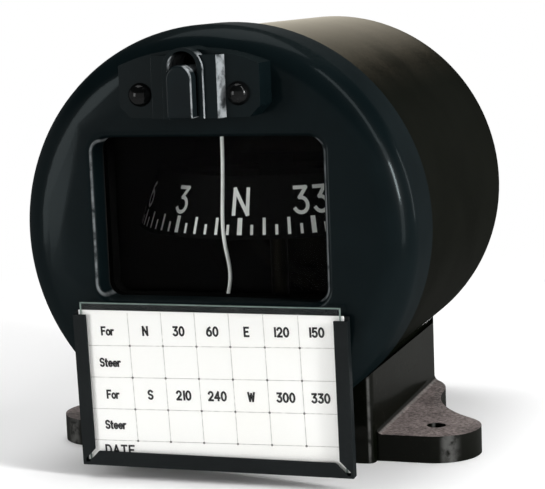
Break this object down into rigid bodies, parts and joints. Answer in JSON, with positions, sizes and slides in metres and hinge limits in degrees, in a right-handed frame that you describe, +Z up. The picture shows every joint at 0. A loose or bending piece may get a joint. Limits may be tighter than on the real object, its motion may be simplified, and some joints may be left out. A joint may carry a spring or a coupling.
{
  "type": "aircraft magnetic compass",
  "caption": "Standby aircraft compass: drum case on a lugged pedestal, window with a floating heading card and lubber wire, pull-out lamp, slide-in correction card and geared correctors.",
  "frame": {"origin": "on the mounting plane under the pedestal, straight below the heading card's pivot", "axes": "+X to the right of someone facing the window, +Y from the face to the rear along the drum, +Z up"},
  "size_m": [0.0936, 0.107, 0.091],
  "materials": {
    "case_enamel": "satin",
    "drum_enamel": "satin",
    "black_sheet": "satin",
    "black_screw": "satin",
    "plug_black": "matte",
    "seal_rubber": "matte",
    "window_glass": "polished",
    "bulb_glass": "polished",
    "mask_black": "matte",
    "wire_white": "matte",
    "card_black": "matte",
    "magnet_steel": "satin",
    "pin_steel": "polished",
    "jewel_red": "gloss",
    "blackened_brass": "matte",
    "plain_brass": "satin",
    "plated_steel": "satin",
    "card_stock": "matte",
    "clear_sheet": "gloss"
  },
  "bodies": {
    "case": {"front_cover": "case_enamel", "rear_drum": "drum_enamel", "case_seal": "seal_rubber", "pedestal": "drum_enamel", "saddle_screws": "plated_steel", "base_plate": "plated_steel", "base_plate_screws": "plated_steel", "window_gasket": "seal_rubber", "window_glass": "window_glass", "mask_plate": "mask_black", "mask_screws": "plated_steel", "lubber_wire": "wire_white", "jewel_cup": "jewel_red", "pivot_stem": "blackened_brass", "expansion_bellows": "blackened_brass", "bellows_clamp": "blackened_brass", "bellows_screws": "blackened_brass", "filler_plug": "plain_brass", "filler_washer": "seal_rubber", "lamp_housing": "case_enamel", "lamp_screws": "black_screw", "lamp_contact": "plain_brass", "card_holder": "black_sheet", "card_holder_screws": "black_screw", "fore_aft_frame": "plated_steel", "fore_aft_axle": "pin_steel", "athwart_frame": "plated_steel", "athwart_axle": "pin_steel"},
    "compass_card": {"card_ring": "card_black", "card_float": "card_black", "card_magnets": "magnet_steel", "pivot_pin": "pin_steel"},
    "lamp": {"lamp_holder": "plug_black", "lamp_bulb": "bulb_glass"},
    "correction_sheet": {"correction_card": "card_stock"},
    "clear_sheet": {"clear_cover": "clear_sheet"},
    "fore_aft_drive": {"fore_aft_spindle": "plain_brass"},
    "fore_aft_lower": {"fore_aft_lower_wheel": "plain_brass", "fore_aft_lower_magnet": "magnet_steel"},
    "fore_aft_upper": {"fore_aft_upper_wheel": "plain_brass", "fore_aft_upper_magnet": "magnet_steel"},
    "athwart_drive": {"athwart_spindle": "plain_brass"},
    "athwart_lower": {"athwart_lower_wheel": "plain_brass", "athwart_lower_magnet": "magnet_steel"},
    "athwart_upper": {"athwart_upper_wheel": "plain_brass", "athwart_upper_magnet": "magnet_steel"}
  },
  "joints": [
    {"name": "card_spin", "type": "hinge", "parent": "case", "child": "compass_card", "pos_m": [0, 0, 0.05835], "axis": [0, 0, 1], "continuous": true},
    {"name": "lamp_pull", "type": "slide", "parent": "case", "child": "lamp", "axis": [0, -1, 0], "range_m": [0, 0.016]},
    {"name": "card_slide", "type": "slide", "parent": "case", "child": "correction_sheet", "axis": [0, -0.0436, 0.999], "range_m": [0, 0.032]},
    {"name": "cover_slide", "type": "slide", "parent": "case", "child": "clear_sheet", "axis": [0, -0.0436, 0.999], "range_m": [0, 0.032]},
    {"name": "fore_aft_turn", "type": "hinge", "parent": "case", "child": "fore_aft_drive", "pos_m": [-0.017, -0.007, 0.00673], "axis": [0, 1, 0], "range_deg": [-180, 180]},
    {"name": "fore_aft_lower_turn", "type": "hinge", "parent": "case", "child": "fore_aft_lower", "pos_m": [-0.017, -0.007, 0.00673], "axis": [0, 0, 1], "range_deg": [-90, 90]},
    {"name": "fore_aft_upper_turn", "type": "hinge", "parent": "case", "child": "fore_aft_upper", "pos_m": [-0.017, -0.007, 0.00673], "axis": [0, 0, 1], "range_deg": [-90, 90]},
    {"name": "athwart_turn", "type": "hinge", "parent": "case", "child": "athwart_drive", "pos_m": [0.017, -0.007, 0.00673], "axis": [0, 1, 0], "range_deg": [-180, 180]},
    {"name": "athwart_lower_turn", "type": "hinge", "parent": "case", "child": "athwart_lower", "pos_m": [0.017, -0.007, 0.00673], "axis": [0, 0, 1], "range_deg": [-90, 90]},
    {"name": "athwart_upper_turn", "type": "hinge", "parent": "case", "child": "athwart_upper", "pos_m": [0.017, -0.007, 0.00673], "axis": [0, 0, 1], "range_deg": [-90, 90]}
  ],
  "couplings": [
    {"joint": "fore_aft_lower_turn", "follows": "fore_aft_turn", "ratio": -0.5},
    {"joint": "fore_aft_upper_turn", "follows": "fore_aft_turn", "ratio": 0.5},
    {"joint": "athwart_lower_turn", "follows": "athwart_turn", "ratio": -0.5},
    {"joint": "athwart_upper_turn", "follows": "athwart_turn", "ratio": 0.5}
  ]
}
